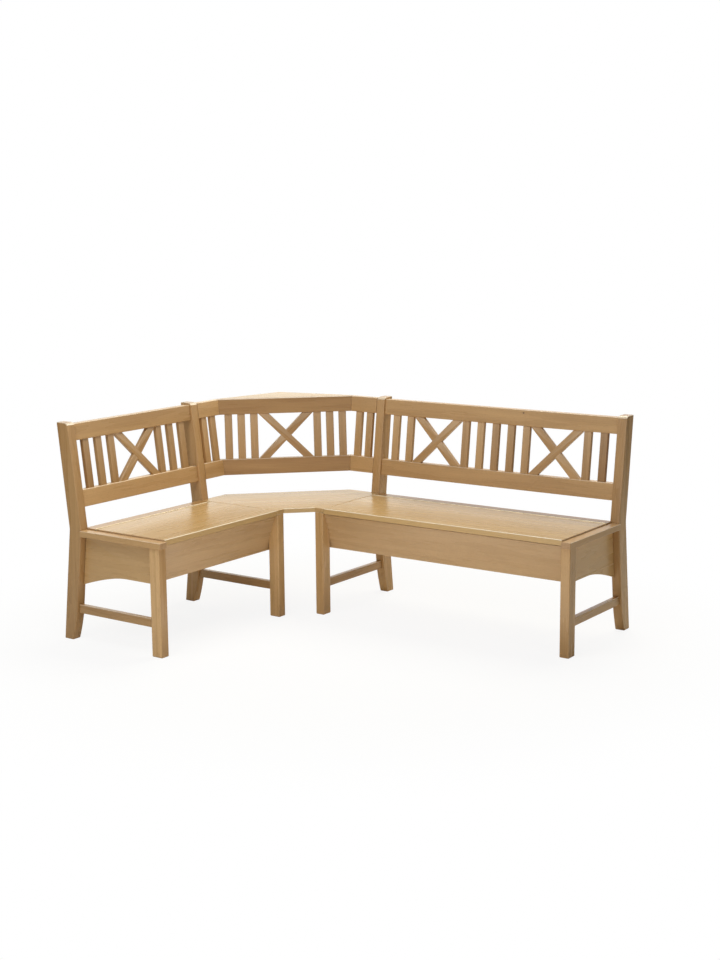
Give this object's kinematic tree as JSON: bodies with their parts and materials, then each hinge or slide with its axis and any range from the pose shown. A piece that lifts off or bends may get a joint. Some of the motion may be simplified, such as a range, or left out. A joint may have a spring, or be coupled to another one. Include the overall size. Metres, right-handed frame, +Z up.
{
  "type": "corner storage bench",
  "caption": "L-shaped wooden corner bench with two lift-up chest seats, a fixed corner seat, raked slatted and cross backrests and a small triangular shelf behind the corner.",
  "frame": {"origin": "floor level, at the centre of the bench's bounding box in plan", "axes": "+X along the long side away from the corner, -Y is where the long side faces, +X is where the short side faces, +Z up"},
  "size_m": [1.8702, 1.4256, 0.898],
  "materials": {
    "beech": "clear satin lacquer",
    "hinge_steel": "dull zinc-plated"
  },
  "bodies": {
    "frame": {"long_outer_rear_post": "beech", "long_inner_rear_post": "beech", "long_outer_front_leg": "beech", "long_inner_front_leg": "beech", "long_outer_end_rail": "beech", "long_outer_end_panel": "beech", "long_inner_end_panel": "beech", "long_outer_stretcher": "beech", "long_inner_stretcher": "beech", "long_seat_bearer": "beech", "long_front_board": "beech", "long_rear_board": "beech", "long_floor_board": "beech", "long_rear_strip": "beech", "long_hinge_fixed_leaf": "hinge_steel", "long_bottom_rail": "beech", "long_top_rail": "beech", "short_outer_rear_post": "beech", "short_inner_rear_post": "beech", "short_outer_front_leg": "beech", "short_inner_front_leg": "beech", "short_outer_end_rail": "beech", "short_outer_end_panel": "beech", "short_inner_end_panel": "beech", "short_outer_stretcher": "beech", "short_inner_stretcher": "beech", "short_seat_bearer": "beech", "short_front_board": "beech", "short_rear_board": "beech", "short_floor_board": "beech", "short_rear_strip": "beech", "short_hinge_fixed_leaf": "hinge_steel", "short_bottom_rail": "beech", "short_top_rail": "beech", "long_slat_row_1": "beech", "long_cross_1": "beech", "long_slat_row_2": "beech", "long_cross_2": "beech", "long_slat_row_3": "beech", "short_slat_row_1": "beech", "short_cross_1": "beech", "short_slat_row_2": "beech", "corner_right_wing_bottom_rail": "beech", "corner_right_wing_top_rail": "beech", "corner_right_wing_slat_row_1": "beech", "corner_left_wing_bottom_rail": "beech", "corner_left_wing_top_rail": "beech", "corner_left_wing_slat_row_1": "beech", "corner_diagonal_bottom_rail": "beech", "corner_diagonal_top_rail": "beech", "corner_diagonal_slat_row_1": "beech", "corner_diagonal_cross_1": "beech", "corner_diagonal_slat_row_2": "beech", "corner_top_shelf": "beech", "corner_seat_board": "beech"},
    "long_lid": {"long_lid": "beech", "long_hinge_moving_leaf": "hinge_steel"},
    "short_lid": {"short_lid": "beech", "short_hinge_moving_leaf": "hinge_steel"}
  },
  "joints": [
    {"name": "long_lid_hinge", "type": "hinge", "parent": "frame", "child": "long_lid", "pos_m": [0.31756, 0.5478, 0.47], "axis": [-1, 0, 0], "range_deg": [0, 104]},
    {"name": "short_lid_hinge", "type": "hinge", "parent": "frame", "child": "short_lid", "pos_m": [-0.77005, -0.31756, 0.47], "axis": [0, -1, 0], "range_deg": [0, 104]}
  ]
}
